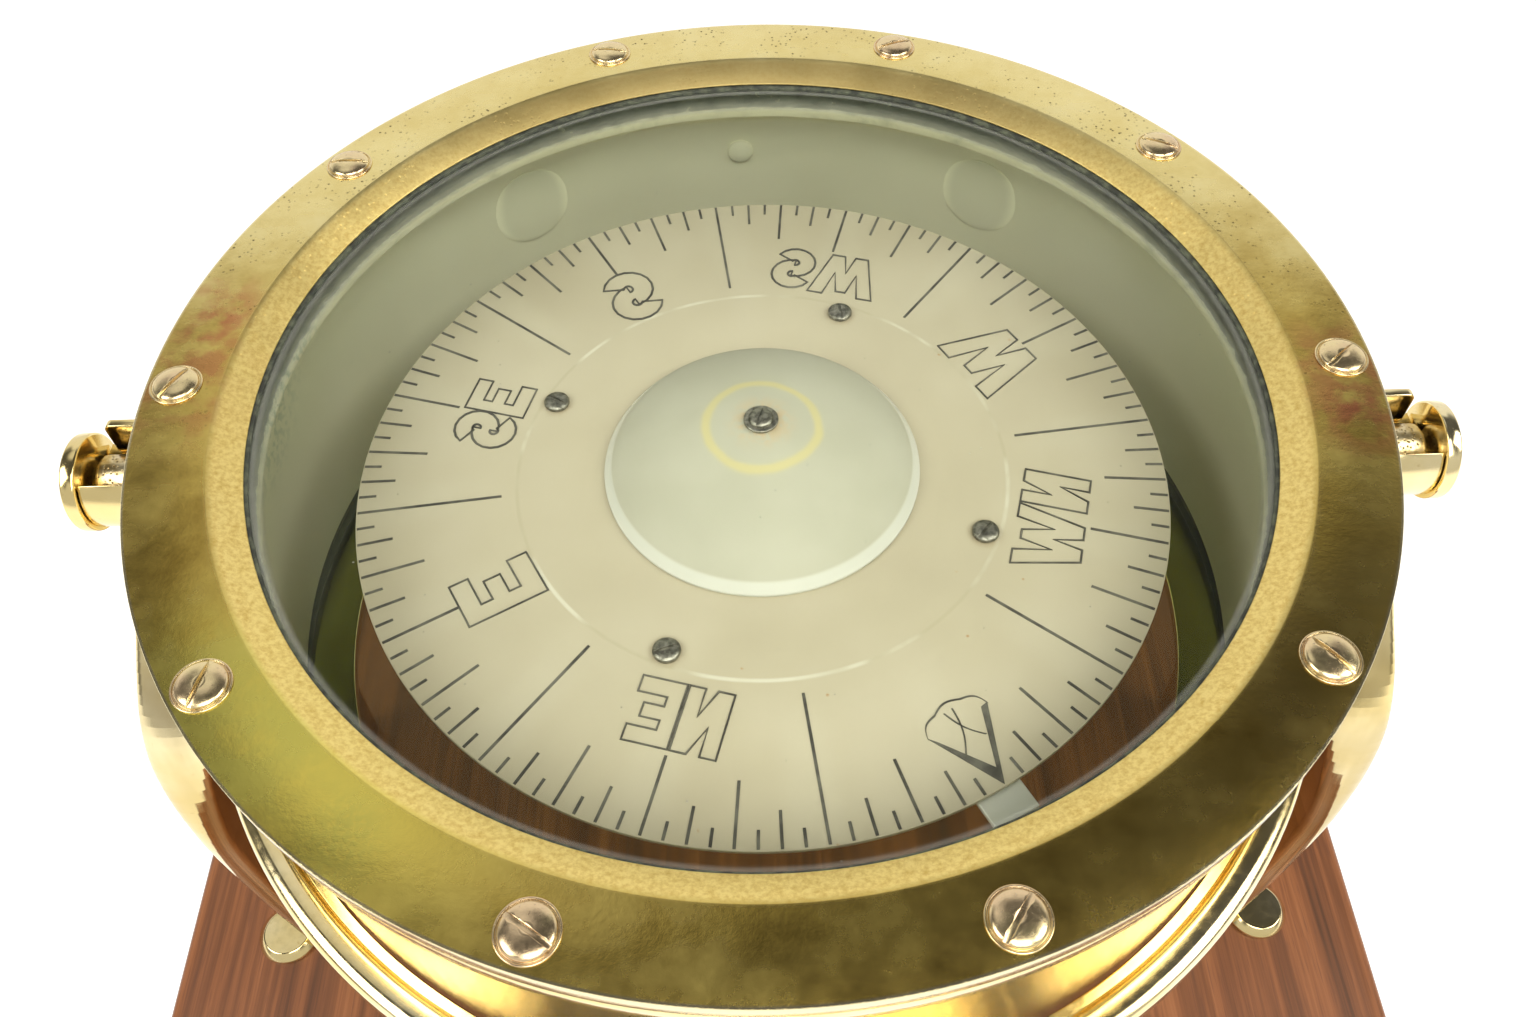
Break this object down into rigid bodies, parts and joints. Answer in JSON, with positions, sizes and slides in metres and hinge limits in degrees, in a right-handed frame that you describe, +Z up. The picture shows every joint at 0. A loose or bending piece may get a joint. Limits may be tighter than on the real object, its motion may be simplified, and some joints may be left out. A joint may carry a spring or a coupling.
{
  "type": "binnacle compass",
  "caption": "Liquid ship's compass: a round brass bowl with a bolted bezel and a floating card, swinging on side pins between two brass arms on a wooden board.",
  "frame": {"origin": "centre of the underside of the board's felt, straight below the middle of the bowl", "axes": "+Z up, +X along the two side pins towards the right arm, +Y towards the back"},
  "size_m": [0.332, 0.27, 0.2251],
  "materials": {
    "polished_brass": "polished",
    "old_brass": "pitted and tarnished",
    "bowl_brass": "painted inside",
    "screw_brass": "worn",
    "steel": "satin",
    "wood": "varnished",
    "felt": "matt",
    "rubber": "matt",
    "glass": "clear",
    "card": "printed",
    "float": "translucent"
  },
  "bodies": {
    "stand": {"wood_base": "wood", "base_felt": "felt", "left_arm": "polished_brass", "right_arm": "polished_brass", "left_front_stud": "polished_brass", "left_back_stud": "polished_brass", "right_front_stud": "polished_brass", "right_back_stud": "polished_brass", "left_bearing": "polished_brass", "right_bearing": "polished_brass", "left_bearing_cap": "polished_brass", "right_bearing_cap": "polished_brass", "left_keeper_plate": "polished_brass", "right_keeper_plate": "polished_brass"},
    "bowl": {"bowl_shell": "bowl_brass", "bezel_ring": "old_brass", "bezel_screw_01": "screw_brass", "bezel_screw_02": "screw_brass", "bezel_screw_03": "screw_brass", "bezel_screw_04": "screw_brass", "bezel_screw_05": "screw_brass", "bezel_screw_06": "screw_brass", "bezel_screw_07": "screw_brass", "bezel_screw_08": "screw_brass", "bezel_screw_09": "screw_brass", "bezel_screw_10": "screw_brass", "top_gasket": "rubber", "top_glass": "glass", "bottom_glass": "glass", "bottom_ring": "polished_brass", "bottom_ring_screw_1": "screw_brass", "bottom_ring_screw_2": "screw_brass", "bottom_ring_screw_3": "screw_brass", "bottom_ring_screw_4": "screw_brass", "ballast_ring": "polished_brass", "left_pin": "polished_brass", "right_pin": "polished_brass", "filler_plug": "screw_brass", "pivot_post": "steel"},
    "card": {"compass_card": "card", "float_dome": "float", "dome_screw": "screw_brass", "card_frame": "steel", "card_screw_1": "steel", "card_screw_2": "steel", "card_screw_3": "steel", "card_screw_4": "steel", "north_tab": "float"}
  },
  "joints": [
    {"name": "bowl_swing", "type": "hinge", "parent": "stand", "child": "bowl", "pos_m": [0, 0, 0.1968], "axis": [1, 0, 0], "range_deg": [-75, 75]},
    {"name": "card_turn", "type": "hinge", "parent": "bowl", "child": "card", "pos_m": [0, 0, 0.1958], "axis": [0, 0, 1], "continuous": true}
  ]
}
